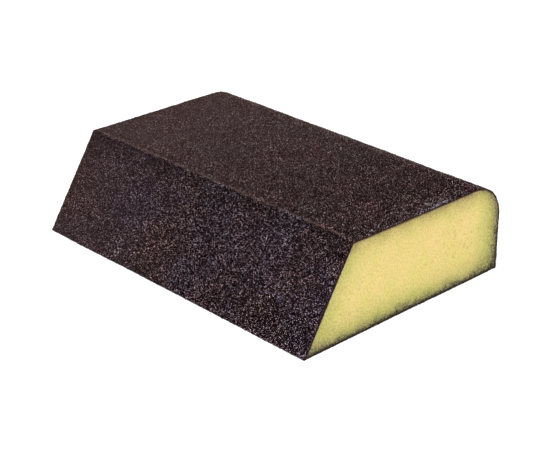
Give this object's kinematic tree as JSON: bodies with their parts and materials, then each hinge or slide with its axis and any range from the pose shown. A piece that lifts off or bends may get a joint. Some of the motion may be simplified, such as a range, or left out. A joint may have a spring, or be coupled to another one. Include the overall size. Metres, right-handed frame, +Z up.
{
  "type": "sanding block",
  "caption": "Foam sanding block of trapezoid section with one slanted side and one rounded shoulder, coated with dark abrasive on its long faces.",
  "frame": {"origin": "centre of the base rectangle, on the surface the block lies on", "axes": "+X along the block's length towards one cut foam end, +Y across it from the slanted side towards the straight side, +Z up from the base to the top face"},
  "size_m": [0.098, 0.07, 0.025],
  "materials": {
    "foam": "matte",
    "resin_bond": "matte",
    "abrasive_grit": "satin"
  },
  "bodies": {
    "root": {"foam_core": "foam", "top_bond": "resin_bond", "top_grit": "abrasive_grit", "base_bond": "resin_bond", "base_grit": "abrasive_grit", "slant_bond": "resin_bond", "slant_grit": "abrasive_grit", "side_bond": "resin_bond", "side_grit": "abrasive_grit"}
  },
  "joints": []
}
